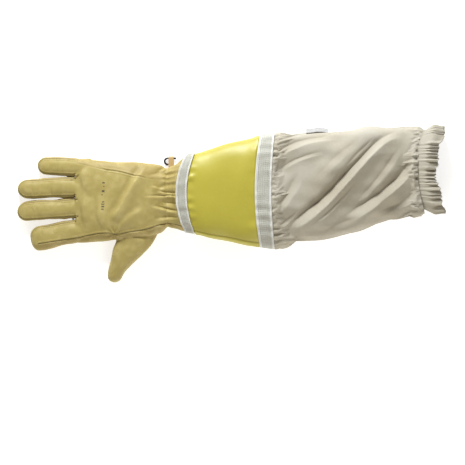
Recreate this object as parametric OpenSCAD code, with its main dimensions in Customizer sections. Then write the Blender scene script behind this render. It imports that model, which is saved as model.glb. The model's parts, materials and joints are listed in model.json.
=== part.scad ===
// Long beekeeping glove for the right hand, lying palm down.
// +X runs from the fingertips to the sleeve opening, +Y to the little-finger side, +Z up.
// The origin is at the centre of the footprint, on the surface that the glove lies on.
// Every panel is a thin shell lofted through a list of cross-sections, so the glove is hollow.

/* [Hand] */
// Length from the finger crotches to the wrist
palm_l = 130; // [105:1:160]
// Width across the knuckles
palm_w = 124.5; // [118:0.5:150]
// Height of the empty hand at its middle
palm_h = 38; // [28:1:48]

/* [Fingers] */
// Lengths of the little, ring, middle and index fingers
finger_l = [58, 87.5, 88.5, 69];
// Widths of the little, ring, middle and index fingers
finger_w = [26, 29, 29, 30];
// Height of a finger at its root
finger_h = 23; // [18:0.5:28]
// Sideways spread of the fingertips, as a share of the one drawn
finger_spread = 1; // [0:0.1:1.2]
// Height of the curl axes above the table
curl_z = 7; // [5:0.5:9]
// Largest curl of one finger joint, in degrees
curl_max = 80; // [45:1:85]

/* [Thumb] */
// Length that the thumb stands out from the edge of the hand
thumb_l = 63; // [50:1:75]
// Width of the thumb at its root
thumb_w = 60; // [48:1:66]
// Height of the thumb at its root
thumb_h = 26; // [20:1:30]
// Distance from the wrist to the middle of the thumb's root
thumb_back = 43; // [36:1:50]
// How far the thumb's tip leans towards the fingers
thumb_lean = 30; // [10:1:36]
// Largest curl of one thumb joint, in degrees
thumb_curl_max = 50; // [30:1:60]

/* [Wrist and gauntlet] */
// Width of the gathered wrist
wrist_w = 90; // [74:1:104]
// Height of the gathered wrist
wrist_h = 28; // [24:1:34]
// Length of the leather cuff past the wrist, up to the cuff tape
cuff_l = 33; // [27:1:42]
// Width of the elastic inside the wrist
wrist_elastic_w = 8; // [5:0.5:12]
// Width of the glove at the cuff tape
tape_ring_w = 114; // [98:1:130]
// Height of the glove at the cuff tape
tape_ring_h = 42; // [34:1:50]
// Width of the cuff tape
tape_w = 15; // [12:0.5:20]
// Length of the forearm band
band_l = 97; // [78:1:118]
// Width of the glove at the wide end of the forearm band
band_ring_w = 168; // [138:1:202]
// Height of the glove at the wide end of the forearm band
band_ring_h = 56; // [46:1:66]
// Width of the knitted elastic webbing
webbing_w = 22; // [17:0.5:28]
// Wrist bend each way, in degrees
wrist_bend = 35; // [15:1:40]

/* [Sleeve] */
// Length of the canvas sleeve, up to the hem's gather
sleeve_l = 223; // [180:1:270]
// Width of the sleeve at the hem's gather
hem_ring_w = 124; // [104:1:140]
// Height of the sleeve at the hem's gather
hem_ring_h = 42; // [34:1:50]
// Length of the hem past its gather
hem_l = 35; // [28:1:42]
// Width of the elastic in the hem
hem_elastic_w = 9; // [6:0.5:12]
// How far the sleeve veers to the little-finger side
sleeve_veer = 31; // [0:1:40]
// Length of the blank label on the sleeve's edge
label_l = 33; // [20:1:40]
// Distance from the webbing to the label
label_from_webbing = 47; // [20:1:80]

/* [Clip and loop] */
// Width of the leather hang loop
loop_w = 8; // [6:0.5:12]
// Length of the hang loop
loop_l = 15; // [13:0.5:20]
// Height of the hang loop
loop_h = 5.2; // [4.8:0.05:8]
// Thickness of the hang loop's leather
loop_t = 1.3; // [1:0.1:1.6]
// Radius of the clip's wire
wire_r = 1; // [0.8:0.05:1.1]
// Bend radius of the clip's hook
hook_r = 4.6; // [4:0.1:4.8]

/* [Materials] */
// Thickness of the leather
leather_t = 1.2; // [0.9:0.1:1.6]
// Thickness of the forearm band's sheet
band_t = 1; // [0.7:0.1:1.4]
// Thickness of the canvas
canvas_t = 0.9; // [0.7:0.1:1.2]
// Thickness of the tapes and elastics
tape_t = 1.2; // [0.9:0.1:1.5]

/* [Fit] */
// Gap between two layers or two panels
layer_gap = 0.3; // [0.2:0.05:0.5]
// Gap between two parts that bend against each other
joint_gap = 0.6; // [0.4:0.1:1]

/* [Hidden] */
FINGERS = ["little", "ring", "middle", "index"];
FINGER_PIECES = ["back_base", "palm_base", "sides_base", "back_tip", "palm_tip", "sides_tip"];
$fn = 32;

LEATHER = [0.72, 0.65, 0.40];
PALM_LEATHER = [0.66, 0.58, 0.35];
VINYL = [0.78, 0.73, 0.30];
WHITE = [0.88, 0.88, 0.85];
CANVAS = [0.74, 0.71, 0.62];
BLACK = [0.08, 0.08, 0.08];

// Cross-section shape: 1 is an ellipse, smaller is squarer
squareness = 0.5;
// Depth that the flat underside cuts off the rounded cross-section
flat_cut = 1.4;
// Angle from the side at which the back panel meets the side panels
seam_a = 44;
// Half the angle left open along such a seam
seam_gap_a = 1;
// Half angle covered by the label on the sleeve's edge
label_a = 14;
// Clearance angle added to each bevel at a joint
bevel_extra = 1;
// The hand is a little taller than the fingers at their roots, so that their panels meet
knuckle_h = finger_h + leather_t * 0.7;

// Lengthwise places
glove_l = max(finger_l) + palm_l + cuff_l + tape_w + band_l + webbing_w + sleeve_l + hem_l;
knuckle_x = max(finger_l) - glove_l / 2;
wrist_x = knuckle_x + palm_l;
tape_x = wrist_x + cuff_l;
band_x = tape_x + tape_w;
webbing_x = band_x + band_l;
sleeve_x = webbing_x + webbing_w;
hem_x = sleeve_x + sleeve_l;
end_x = hem_x + hem_l;
tape_mid = tape_x + tape_w / 2;
webbing_mid = webbing_x + webbing_w / 2;
elastic_x = wrist_x + 6;

// How far the middle of each band lies towards the fingers, compared with its edges
tape_bow = 14;
webbing_bow = 6;
hem_bow = 10;
// Sideways places of the bands, from the wrist's middle
tape_c = 5.5;
webbing_c = 9;
// The two tapes lie outside the layers that they join, and they rest on the table
under_tape = tape_t + layer_gap;
wrist_lift = 2;

// Hand outline: sideways middles at the knuckles, the palm and the heel, and the thumb side's edge
hand_c = [-5.25, -6.3, -6.1];
edge_step = 1.5;
hand_edge = hand_c[0] - palm_w / 2 + edge_step;

// One row per station along the gauntlet: x, sideways middle, half width, height, lift, bow
STATIONS = [
    [wrist_x, 0, wrist_w / 2 + 2, wrist_h + 1, wrist_lift, 0],
    [elastic_x, 0, wrist_w / 2, wrist_h, wrist_lift, 0],
    [elastic_x + wrist_elastic_w, 0, wrist_w / 2 + 1, wrist_h + 1, wrist_lift, 2],
    [tape_x, tape_c, tape_ring_w / 2 - 1, tape_ring_h - 2, under_tape, tape_bow],
    [tape_mid, tape_c, tape_ring_w / 2, tape_ring_h, under_tape, tape_bow - 1],
    [band_x, tape_c, tape_ring_w / 2 + 3, tape_ring_h + 1, under_tape, tape_bow - 2],
    [webbing_x, webbing_c - 1, band_ring_w / 2, band_ring_h, under_tape, webbing_bow + 2],
    [webbing_mid, webbing_c, band_ring_w / 2 + 1, band_ring_h + 1, under_tape, webbing_bow],
    [sleeve_x, webbing_c, band_ring_w / 2 + 2, band_ring_h + 1, under_tape, webbing_bow - 1],
    [sleeve_x + sleeve_l / 2, webbing_c + sleeve_veer * 0.5,
        (band_ring_w + hem_ring_w) / 4 + 3, (band_ring_h + hem_ring_h) / 2, under_tape, 2],
    [hem_x, webbing_c + sleeve_veer, hem_ring_w / 2, hem_ring_h, under_tape, hem_bow],
    [hem_x + hem_elastic_w, webbing_c + sleeve_veer, hem_ring_w / 2, hem_ring_h, under_tape, hem_bow],
    [end_x, webbing_c + sleeve_veer, hem_ring_w / 2 + 4, hem_ring_h + 4, 0, hem_bow + 2]];

function column(c) = [for (s = STATIONS) [s[0], s[c]]];
function station(x, low = 0, high = 0) =
    [x, lookup(x, column(1)), lookup(x, column(2)), lookup(x, column(3)),
        lookup(x, column(4)), low, high, lookup(x, column(5))];
function stations(x0, x1) =
    [for (x = concat([x0], [for (s = STATIONS) if (s[0] > x0 + 0.5 && s[0] < x1 - 0.5) s[0]], [x1]))
        station(x)];

// The footprint is centred sideways between the sleeve's edge and the thumb's tip
top_y = max([for (s = STATIONS) s[1] + s[2]]);
glove_y = -(top_y + hand_edge - thumb_l) / 2;

// A cross-section is [x, sideways middle, half width, height, lift, low bevel, high bevel, bow]
function bent(v) = sign(v) * pow(abs(v), squareness);
function ring_point(s, a, depth, axis_z) =
    let (half = max(s[2] - depth, 0.3),
        tall = max((s[3] + flat_cut) / 2 - depth, 0.3),
        side = half * bent(cos(a)),
        z = max(s[4] + (s[3] - flat_cut) / 2 + tall * bent(sin(a)), s[4] + depth),
        slope = s[5] * max(0, axis_z - z) + s[6] * max(0, z - axis_z),
        bow = s[7] * (1 - pow(side / half, 2)))
    [s[0] + slope - bow, s[1] + side, z];

function steps(a0, a1, n) = [for (k = [0:n]) a0 + (a1 - a0) * k / n];
function quad(a, b, c, d) = [[a, b, c], [a, c, d]];

// A shell from depth0 (outside) to depth1 (inside) over the given angles; wrap closes it to a tube
module shell(sections, angles, depth0, depth1, wrap = false, axis_z = 0) {
    m = len(sections);
    n = len(angles);
    last = wrap ? n - 1 : n - 2;
    points = [for (d = [depth0, depth1], s = sections, a = angles) ring_point(s, a, d, axis_z)];
    out = function (i, j) i * n + j % n;
    inn = function (i, j) (m + i) * n + j % n;
    faces = [for (i = [0:m - 2], j = [0:last])
        each concat(quad(out(i, j), out(i + 1, j), out(i + 1, j + 1), out(i, j + 1)),
            quad(inn(i, j), inn(i, j + 1), inn(i + 1, j + 1), inn(i + 1, j)))];
    ends = [for (j = [0:last])
        each concat(quad(out(0, j), out(0, j + 1), inn(0, j + 1), inn(0, j)),
            quad(out(m - 1, j + 1), out(m - 1, j), inn(m - 1, j), inn(m - 1, j + 1)))];
    edges = wrap ? [] : [for (i = [0:m - 2])
        each concat(quad(out(i + 1, 0), out(i, 0), inn(i, 0), inn(i + 1, 0)),
            quad(out(i, n - 1), out(i + 1, n - 1), inn(i + 1, n - 1), inn(i, n - 1)))];
    polyhedron(points, concat(faces, ends, edges), convexity = 8);
}

module place() {
    translate([0, glove_y, 0]) children();
}

BACK = steps(seam_a + seam_gap_a, 180 - seam_a - seam_gap_a, 9);
UNDER = steps(180 + seam_a + seam_gap_a, 360 - seam_a - seam_gap_a, 6);
// Round both sides and the underside, with points at mid-height on each side
WRAPPED = concat([180 - seam_a + seam_gap_a], steps(145, 175, 3), [180], steps(185, 355, 17),
    [360], steps(365, 395, 3), [360 + seam_a - seam_gap_a]);
HALF_TOP = steps(seam_gap_a, 180 - seam_gap_a, 10);
HALF_UNDER = steps(180 + seam_gap_a, 360 - seam_gap_a, 10);
AROUND = steps(5, 355, 35);
function side_angles(side) =
    steps(side * 180 - seam_a + seam_gap_a, side * 180 + seam_a - seam_gap_a, 4);

// Hand

curl_slope = tan(curl_max / 2 + bevel_extra);
thumb_slope = tan(thumb_curl_max / 2 + bevel_extra);
wrist_slope = tan(wrist_bend / 2 + bevel_extra);
wrist_z = wrist_lift + wrist_h / 2;
hand_half = [for (c = hand_c) c - hand_edge];
HAND = [
    [knuckle_x + joint_gap / 2, hand_c[0], palm_w / 2, knuckle_h, 0, curl_slope, 0, 0],
    [knuckle_x + palm_l * 0.3, hand_c[1], hand_half[1], palm_h - 3, 0, 0, 0, 0],
    [knuckle_x + palm_l * 0.6, hand_c[1], hand_half[1] - 0.5, palm_h, 0, 0, 0, 0],
    [wrist_x - palm_l * 0.14, hand_c[2], hand_half[2] - 2.5, palm_h - 3, 0, 0, 0, 0],
    [wrist_x - joint_gap / 2, 0, wrist_w / 2 + 3, wrist_h + 1, wrist_lift, 0, 0, 0]];

// The hand's wrist end is cut back above and below the wrist axis, so that it can bend both ways
module wrist_wedge() {
    reach = 2 * palm_w;
    translate([wrist_x - joint_gap / 2, 0, wrist_z]) rotate([90, 0, 0])
        linear_extrude(reach, center = true)
            polygon([[0, 0], [-wrist_slope * palm_h, palm_h], [palm_h, palm_h],
                [palm_h, -palm_h], [-wrist_slope * palm_h, -palm_h]]);
}
module hand_panel(angles) {
    difference() {
        shell(HAND, angles, 0, leather_t, axis_z = curl_z);
        wrist_wedge();
    }
}
module hand_back() {
    color(LEATHER) place() hand_panel(BACK);
}
// The palm's leather wraps up both sides, and is open where the thumb is sewn in
module hand_palm() {
    hole = [thumb_w - 16, 40, thumb_h - 8];
    color(PALM_LEATHER) place() difference() {
        hand_panel(WRAPPED);
        translate([wrist_x - thumb_back - hole.x / 2, hand_edge - 20, 4]) cube(hole);
    }
}

// Fingers

// The fingers' roots share the knuckles' width, from the little finger's edge, with equal gaps
total_finger_w = finger_w * [1, 1, 1, 1];
root_gap = (palm_w - total_finger_w) / len(FINGERS);
function widths_before(f) = f == 0 ? 0 : finger_w[f - 1] + widths_before(f - 1);
finger_c = [for (f = [0:3])
    hand_c[0] + palm_w / 2 - widths_before(f) - finger_w[f] / 2 - f * root_gap];
// How far each tip lies sideways of its root
finger_shift = [2, -3, -5, -11];
// Share of its length, from the root, at which each finger has its middle joint
finger_joint = [0.48, 0.43, 0.43, 0.47];
function joint_x(f) = knuckle_x - finger_l[f] * finger_joint[f];
function finger_y(f, x) =
    finger_c[f] + finger_shift[f] * finger_spread * (knuckle_x - x) / finger_l[f];
function finger_section(f, x, wide, high, lift, low = 0) =
    [x, finger_y(f, x), finger_w[f] / 2 * wide, finger_h * high, finger_h * lift, low, 0, 0];
function tip_sections(f) =
    let (tip = knuckle_x - finger_l[f], w = finger_w[f])
    [finger_section(f, tip, 0.22, 0.2, 0.34),
        finger_section(f, tip + w * 0.07, 0.58, 0.48, 0.18),
        finger_section(f, tip + w * 0.25, 0.86, 0.7, 0.07),
        finger_section(f, tip + w * 0.6, 1, 0.84, 0),
        finger_section(f, joint_x(f) - joint_gap / 2, 1, 0.94, 0, -curl_slope)];
function base_sections(f) =
    [finger_section(f, joint_x(f) + joint_gap / 2, 1, 0.94, 0, curl_slope),
        finger_section(f, knuckle_x - joint_gap / 2, 1, 1, 0, -curl_slope)];

module finger_shell(sections, angles) {
    place() shell(sections, angles, 0, leather_t, axis_z = curl_z);
}
module finger_piece(f, piece) {
    sections = search("t", piece, 0)[0] == [] ? base_sections(f) : tip_sections(f);
    if (piece == "back_base" || piece == "back_tip") color(LEATHER) finger_shell(sections, BACK);
    if (piece == "palm_base" || piece == "palm_tip") color(PALM_LEATHER) finger_shell(sections, UNDER);
    if (piece == "sides_base" || piece == "sides_tip")
        color(PALM_LEATHER) for (side = [0, 1]) finger_shell(sections, side_angles(side));
}

// Thumb: lofted along -X like a finger, then turned a quarter turn to point along -Y

thumb_root = hand_edge - joint_gap / 2;
thumb_joint = hand_edge - thumb_l * 0.5;
thumb_c = thumb_back - wrist_x;
function thumb_section(y, lean, wide, high, lift, low = 0) =
    [y, thumb_c + thumb_lean * lean, thumb_w / 2 * wide, thumb_h * high, thumb_h * lift, low, 0, 0];
THUMB_BASE = [
    thumb_section(thumb_joint + joint_gap / 2, 0.67, 0.54, 0.82, 0, thumb_slope),
    thumb_section(hand_edge - thumb_l * 0.22, 0.33, 0.74, 0.93, 0),
    thumb_section(thumb_root, 0, 1, 1, 0, -thumb_slope)];
THUMB_TIP = [
    thumb_section(hand_edge - thumb_l, 0.99, 0.08, 0.14, 0.26),
    thumb_section(hand_edge - thumb_l * 0.97, 1, 0.24, 0.38, 0.14),
    thumb_section(hand_edge - thumb_l * 0.89, 1, 0.34, 0.55, 0.06),
    thumb_section(hand_edge - thumb_l * 0.68, 0.86, 0.42, 0.7, 0),
    thumb_section(thumb_joint - joint_gap / 2, 0.67, 0.54, 0.82, 0, -thumb_slope)];
module thumb_shell(sections, angles) {
    place() rotate([0, 0, 90]) shell(sections, angles, 0, leather_t, axis_z = curl_z);
}
module thumb_back_base() {
    color(LEATHER) thumb_shell(THUMB_BASE, HALF_TOP);
}
module thumb_palm_base() {
    color(PALM_LEATHER) thumb_shell(THUMB_BASE, HALF_UNDER);
}
module thumb_back_tip() {
    color(LEATHER) thumb_shell(THUMB_TIP, HALF_TOP);
}
module thumb_palm_tip() {
    color(PALM_LEATHER) thumb_shell(THUMB_TIP, HALF_UNDER);
}

// Gauntlet

CUFF = concat([station(wrist_x + joint_gap / 2, wrist_slope, wrist_slope)],
    [for (s = stations(elastic_x, tape_mid - layer_gap / 2)) s]);
module cuff_back() {
    color(LEATHER) place() shell(CUFF, BACK, 0, leather_t, axis_z = wrist_z);
}
module cuff_palm() {
    color(PALM_LEATHER) place() shell(CUFF, WRAPPED, 0, leather_t, axis_z = wrist_z);
}
module wrist_elastic() {
    depth = leather_t + layer_gap;
    color(WHITE) place()
        shell(stations(elastic_x, elastic_x + wrist_elastic_w), AROUND, depth, depth + tape_t, true);
}
module cuff_tape() {
    color(WHITE) place() shell(stations(tape_x, band_x), AROUND, -under_tape, -layer_gap, true);
}
module forearm_band() {
    sections = stations(tape_mid + layer_gap / 2, webbing_mid - layer_gap / 2);
    color(VINYL) place() shell(sections, AROUND, 0, band_t, true);
}
module webbing() {
    color(WHITE) place() shell(stations(webbing_x, sleeve_x), AROUND, -under_tape, -layer_gap, true);
}

// Sleeve

module canvas_sleeve() {
    sections = stations(webbing_mid + layer_gap / 2, hem_x - layer_gap / 2);
    color(CANVAS) place() shell(sections, AROUND, 0, canvas_t, true);
}
module hem_channel() {
    color(CANVAS) place() shell(stations(hem_x + layer_gap / 2, end_x), AROUND, 0, canvas_t, true);
}
module hem_elastic() {
    depth = canvas_t + layer_gap;
    sections = stations(hem_x + layer_gap / 2, hem_x + hem_elastic_w);
    color(WHITE) place() shell(sections, AROUND, depth, depth + tape_t, true);
}
module sleeve_label() {
    start = sleeve_x + label_from_webbing;
    sections = stations(start, start + label_l);
    color(WHITE) place() shell(sections, steps(-label_a, label_a, 4), -layer_gap - 0.6, -layer_gap);
}

// Clip and loop

// The loop starts beside the gathered wrist and points to the little-finger side
loop_y = wrist_w / 2;
hook_y = loop_y + loop_l - loop_t - wire_r - layer_gap - 0.4;
hook_z = loop_h / 2;
loop_x = elastic_x + 2;
module loop_outline(inset) {
    tall = loop_h - 2 * inset;
    translate([inset, inset]) square([loop_l - inset - loop_h / 2, tall]);
    translate([loop_l - loop_h / 2, loop_h / 2]) circle(tall / 2);
}
module hang_loop() {
    color(PALM_LEATHER) place() translate([loop_x, loop_y, 0]) rotate([90, 0, 90])
        linear_extrude(loop_w) difference() {
            loop_outline(0);
            loop_outline(loop_t);
        }
}
// A wire shank through the loop, a half-round hook towards the fingers and a thicker end
module clip_hook() {
    shank_l = loop_w + 3;
    left_x = loop_x - 1.2;
    end_r = wire_r * 1.4;
    color(BLACK) place() translate([left_x, hook_y, hook_z]) union() {
        rotate([0, 90, 0]) cylinder(r = wire_r, h = shank_l);
        translate([shank_l, 0, 0]) sphere(wire_r * 1.3);
        translate([0, -hook_r, 0]) rotate([0, 0, 90]) rotate_extrude(angle = 180)
            translate([hook_r, 0]) circle(wire_r);
        translate([-2, -2 * hook_r, 0]) rotate([0, 90, 0]) cylinder(r = end_r, h = 2.8);
    }
}

hand_back();
hand_palm();
for (f = [0:3], p = FINGER_PIECES)
    finger_piece(f, p);
thumb_back_base();
thumb_palm_base();
thumb_back_tip();
thumb_palm_tip();
cuff_back();
cuff_palm();
wrist_elastic();
hang_loop();
clip_hook();
cuff_tape();
forearm_band();
webbing();
canvas_sleeve();
hem_channel();
hem_elastic();
sleeve_label();
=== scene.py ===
"""Beekeeping glove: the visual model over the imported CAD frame, in metres."""
import json
import math

import bmesh
import bpy
import numpy as np
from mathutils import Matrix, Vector


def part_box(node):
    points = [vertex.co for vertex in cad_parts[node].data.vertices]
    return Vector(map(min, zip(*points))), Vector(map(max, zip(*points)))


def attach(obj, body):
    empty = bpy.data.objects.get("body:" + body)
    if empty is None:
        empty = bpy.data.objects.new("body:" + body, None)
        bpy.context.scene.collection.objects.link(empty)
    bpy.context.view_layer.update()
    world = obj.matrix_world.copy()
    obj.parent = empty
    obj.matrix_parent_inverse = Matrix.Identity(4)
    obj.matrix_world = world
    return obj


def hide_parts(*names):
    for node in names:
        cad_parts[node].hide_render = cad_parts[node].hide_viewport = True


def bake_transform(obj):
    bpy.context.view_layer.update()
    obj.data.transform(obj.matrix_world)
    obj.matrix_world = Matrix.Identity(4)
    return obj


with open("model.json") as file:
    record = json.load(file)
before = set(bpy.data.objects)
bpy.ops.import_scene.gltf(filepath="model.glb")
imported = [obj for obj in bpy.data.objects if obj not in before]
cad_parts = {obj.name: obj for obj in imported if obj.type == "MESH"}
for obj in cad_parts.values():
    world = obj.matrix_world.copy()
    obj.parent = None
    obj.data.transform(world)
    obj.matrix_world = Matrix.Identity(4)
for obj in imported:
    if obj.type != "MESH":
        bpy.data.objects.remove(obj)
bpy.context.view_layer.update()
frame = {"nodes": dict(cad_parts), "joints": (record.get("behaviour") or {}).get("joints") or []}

# ---------------------------------------------------------------- places, from the frame

JOINT = {j["name"]: np.array(j["pos_m"]) for j in frame["joints"]}
WRIST = JOINT["wrist_bend"]
HAND_Y = WRIST[1]
KNUCKLE_X = JOINT["ring_knuckle"][0]
FINGERS = ["little", "ring", "middle", "index"]


def far_end(node):
    """The x of a CAD node's end away from the fingers."""
    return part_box(node)[1][0]


BAND_X = far_end("cuff_tape")
WEBBING_X = BAND_X + 0.097
SLEEVE_X = far_end("webbing")
END_X = far_end("hem_channel")
HEM_X = END_X - 0.035
TAPE_X = BAND_X - 0.015
EDGE_Y = JOINT["thumb_knuckle"][1]
FINGER_CUT_X = KNUCKLE_X + 0.001
THUMB_ROOT_Y = EDGE_Y + 0.002
THUMB_SPLIT_Y = EDGE_Y - 0.0205

# Stations along the gauntlet: x, sideways middle, half width, height, lift, bow
TAPE_STATION = [TAPE_X, 0.0034, 0.0566, 0.0385, 0.0020, 0.014]
STATIONS = np.array([
    [WRIST[0] - 0.030, -0.0045, 0.0570, 0.0340, 0.0010, 0.000],
    [WRIST[0] - 0.004, -0.0045, 0.0505, 0.0290, 0.0015, 0.000],
    [WRIST[0] + 0.006, -0.0016, 0.0440, 0.0262, 0.0020, 0.000],
    [WRIST[0] + 0.016, -0.0008, 0.0462, 0.0290, 0.0020, 0.003],
    TAPE_STATION,
    [BAND_X, 0.0040, 0.0596, 0.0420, 0.0020, 0.012],
    [(BAND_X + WEBBING_X) / 2, 0.0058, 0.0724, 0.0500, 0.0018, 0.010],
    [WEBBING_X, 0.0073, 0.0826, 0.0556, 0.0018, 0.008],
    [SLEEVE_X, 0.0073, 0.0848, 0.0566, 0.0018, 0.005],
    [SLEEVE_X + 0.018, 0.0082, 0.0848, 0.0560, 0.0015, 0.003],
    [SLEEVE_X + 0.033, 0.0120, 0.0812, 0.0552, 0.0015, 0.003],
    [SLEEVE_X + 0.060, 0.0165, 0.0782, 0.0540, 0.0015, 0.002],
    [SLEEVE_X + 0.096, 0.0210, 0.0744, 0.0520, 0.0012, 0.002],
    [SLEEVE_X + 0.132, 0.0266, 0.0712, 0.0500, 0.0012, 0.003],
    [SLEEVE_X + 0.159, 0.0310, 0.0688, 0.0480, 0.0012, 0.005],
    [SLEEVE_X + 0.186, 0.0352, 0.0658, 0.0450, 0.0012, 0.008],
    [HEM_X, 0.0396, 0.0625, 0.0400, 0.0012, 0.011],
    [END_X, 0.0396, 0.0622, 0.0430, 0.0010, 0.013],
])
ROUNDNESS = 2.7

# Points round each ring
BAND_POINTS = 420
SLEEVE_POINTS = 520
HEM_POINTS = 620
HAND_POINTS = 200
FINGER_POINTS = 56

BAND_OUTSET = 0.0012
BAND_THICKNESS = 0.0010
MOST_SETTLING = 0.007
STITCH_OUTSET = 0.0014
STITCH_LENGTH = 0.0024
STITCH_GAP = 0.0013
STITCH_RADIUS = 0.00034

SKIN_VOXEL = 0.0013
SEAM_DEPTH = 0.0008
RIM_SHARE = 0.80        # of a finger's half width, where its side panels start
STAR = (-0.072, -0.0575)        # puckers at the thumb's root, x and y from the wrist
FLOOR_Z = -0.0004


def smooth_lookup(x, xs, ys):
    """A smooth curve through the points (xs, ys): Hermite segments with averaged slopes."""
    x = np.clip(np.asarray(x, float), xs[0], xs[-1])
    d = np.diff(ys) / np.diff(xs)
    slope = np.concatenate([[d[0]], (d[1:] + d[:-1]) / 2, [d[-1]]])
    i = np.clip(np.searchsorted(xs, x, side="right") - 1, 0, len(xs) - 2)
    h = xs[i + 1] - xs[i]
    t = (x - xs[i]) / h
    return ((2 * t**3 - 3 * t**2 + 1) * ys[i] + (t**3 - 2 * t**2 + t) * h * slope[i]
            + (3 * t**2 - 2 * t**3) * ys[i + 1] + (t**3 - t**2) * h * slope[i + 1])


def smooth_step(x, a, b):
    """0 at a, 1 at b, smooth between, for either order of a and b."""
    t = np.clip((x - a) / (b - a), 0, 1)
    return t * t * (3 - 2 * t)


def bell(d, width, crest=2):
    """1 at d = 0, falling smoothly to nothing a few widths away."""
    return np.exp(-np.abs(d / width) ** crest)


def table_row(x, table):
    """A table's columns after its first, looked up smoothly at x in that first column."""
    return [float(smooth_lookup(x, table[:, 0], column)) for column in table[:, 1:].T]


def row_between(at, xs, rows):
    """A row of three numbers between those of a list, where xs says each one's place."""
    return np.array([np.interp(at, xs, rows[:, k]) for k in range(3)])


def section(half, height, lift, count, roundness=ROUNDNESS, flat=0.0014):
    """A rounded cross-section with a flattened underside: points at even lengths from +Y."""
    angle = np.linspace(0, 2 * np.pi, 721)
    tall = (height + flat) / 2
    c, s = np.cos(angle), np.sin(angle)
    r = (np.abs(c / half) ** roundness + np.abs(s / tall) ** roundness) ** (-1 / roundness)
    y = r * c
    z = np.maximum(lift + tall - flat + r * s, lift)
    length = np.concatenate([[0], np.cumsum(np.hypot(np.diff(y), np.diff(z)))])
    at = np.linspace(0, length[-1], count, endpoint=False)
    return np.interp(at, length, y), np.interp(at, length, z), length[-1]


def gauntlet_ring(x, count, outset=0.0):
    """The gauntlet's cross-section at x, bowed towards the fingers in its middle."""
    middle, half, height, lift, bow = table_row(x, STATIONS)
    lift = max(lift - outset, 0.0003)
    y, z, around = section(half + outset, height + 2 * outset, lift, count)
    share = 1 - (y / (half + outset)) ** 2
    return np.stack([x - bow * share, HAND_Y + middle + y, z], axis=1), around


# ---------------------------------------------------------------- noise and meshes

class Noise:
    """Smooth seeded noise: a sum of sines in random directions."""

    def __init__(self, seed, size, dims=2, waves=14):
        rng = np.random.default_rng(seed)
        direction = rng.normal(size=(waves, dims))
        direction /= np.linalg.norm(direction, axis=1)[:, None]
        self.k = direction * (2 * np.pi / size) * rng.uniform(0.6, 1.6, (waves, 1))
        self.phase = rng.uniform(0, 2 * np.pi, waves)
        self.scale = math.sqrt(2 / waves)

    def __call__(self, *coords):
        p = np.stack([np.asarray(c, float) for c in coords], axis=-1)
        return np.sin(p @ self.k.T + self.phase).sum(axis=-1) * self.scale


def surface_normals(grid, wrap):
    """Outward unit normals of a grid of points (along, around, 3)."""
    if wrap:
        around = np.roll(grid, -1, axis=1) - np.roll(grid, 1, axis=1)
    else:
        around = np.gradient(grid, axis=1)
    along = np.gradient(grid, axis=0)
    n = np.cross(around, along)
    return n / np.maximum(np.linalg.norm(n, axis=2, keepdims=True), 1e-12)


def grid_faces(m, n, wrap, start=0, flip=False):
    i, j = np.meshgrid(np.arange(m - 1), np.arange(n if wrap else n - 1), indexing="ij")
    i, j = i.ravel(), j.ravel()
    k = (j + 1) % n
    quads = np.stack([i * n + j, (i + 1) * n + j, (i + 1) * n + k, i * n + k], axis=1) + start
    return quads[:, ::-1] if flip else quads


def read(items, key, width=1, kind=np.float64):
    """One property of every item of a mesh, as an array."""
    values = np.empty(len(items) * width, kind)
    items.foreach_get(key, values)
    return values.reshape(-1, width) if width > 1 else values


def link(name, data):
    obj = bpy.data.objects.new(name, data)
    bpy.context.scene.collection.objects.link(obj)
    return obj


def make_object(name, points, faces, uv=None, smooth=True):
    mesh = bpy.data.meshes.new(name)
    mesh.from_pydata(np.asarray(points).tolist(), [],
                     faces if isinstance(faces, list) else faces.tolist())
    if uv is not None:
        loops = read(mesh.loops, "vertex_index", kind=np.int32)
        layer = mesh.uv_layers.new(name="UVMap")
        layer.data.foreach_set("uv", np.asarray(uv)[loops].astype(np.float32).ravel())
    if smooth:
        mesh.shade_smooth()
    return link(name, mesh)


def plane(name, reach, z, smooth=True):
    """A flat square about the origin."""
    corners = [(-reach, -reach, z), (reach, -reach, z), (reach, reach, z), (-reach, reach, z)]
    return make_object(name, corners, [[0, 1, 2, 3]], smooth=smooth)


def store_float(obj, name, values):
    attribute = obj.data.attributes.new(name, "FLOAT", "POINT")
    attribute.data.foreach_set("value", np.asarray(values, np.float32).ravel())


def store_rest(obj):
    """The rest position as an attribute, so that textures stay put when the piece bends."""
    attribute = obj.data.attributes.new("rest", "FLOAT_VECTOR", "POINT")
    attribute.data.foreach_set("vector", read(obj.data.vertices, "co", 3, np.float32).ravel())


def thick_sheet(name, grid, thickness, wrap, uv, marks=None):
    """A closed sheet: the grid is its outer face, the inner face lies a thickness below it."""
    m, n, _ = grid.shape
    inner = grid - surface_normals(grid, wrap) * thickness
    inner[..., 2] = np.maximum(inner[..., 2], grid[..., 2].min() + 0.0001)
    points = np.concatenate([grid.reshape(-1, 3), inner.reshape(-1, 3)])
    size = m * n

    def rim(a, b):
        return np.stack([a, b, size + b, size + a], axis=1)

    j = np.arange(n if wrap else n - 1)
    k = (j + 1) % n
    last = (m - 1) * n
    faces = [grid_faces(m, n, wrap), grid_faces(m, n, wrap, size, True),
             rim(j, k), rim(last + k, last + j)]
    if not wrap:
        i = np.arange(m - 1) * n
        faces += [rim(i + n, i), rim(i + n - 1, i + 2 * n - 1)]
    obj = make_object(name, points, np.concatenate(faces)[:, ::-1], np.concatenate([uv, uv]))
    for key, values in (marks or {}).items():
        store_float(obj, key, np.concatenate([values.ravel(), values.ravel()]))
    store_rest(obj)
    return obj


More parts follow.
